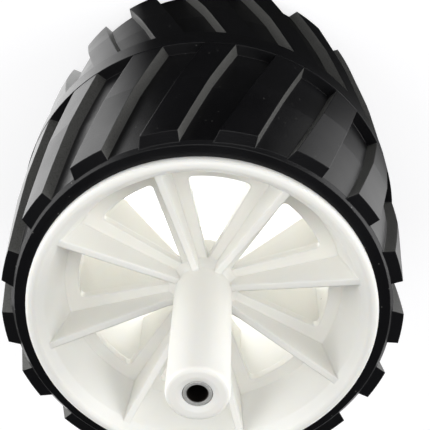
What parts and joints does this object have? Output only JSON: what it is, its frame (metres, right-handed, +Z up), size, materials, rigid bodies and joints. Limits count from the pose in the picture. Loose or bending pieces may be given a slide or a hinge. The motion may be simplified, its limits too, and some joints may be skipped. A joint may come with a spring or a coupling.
{
  "type": "wheel",
  "caption": "Wide wheel with a white spoked and finned hub, a long boss with a steel axle sleeve and a black rubber tyre with a chevron lug tread.",
  "frame": {"origin": "on the axle line, in the plane of the rim's front lip", "axes": "+Z up along the axle line towards the end of the long boss, with the wheel standing on its rear lip, +X and +Y square to the axle line"},
  "size_m": [0.182, 0.182, 0.245],
  "materials": {
    "hub": "ivory-white moulded nylon, slightly glossy",
    "tyre": "black moulded rubber, satin",
    "sleeve": "plain turned steel"
  },
  "bodies": {
    "root": {"hub": "hub", "tyre": "tyre", "axle_sleeve": "sleeve"}
  },
  "joints": []
}
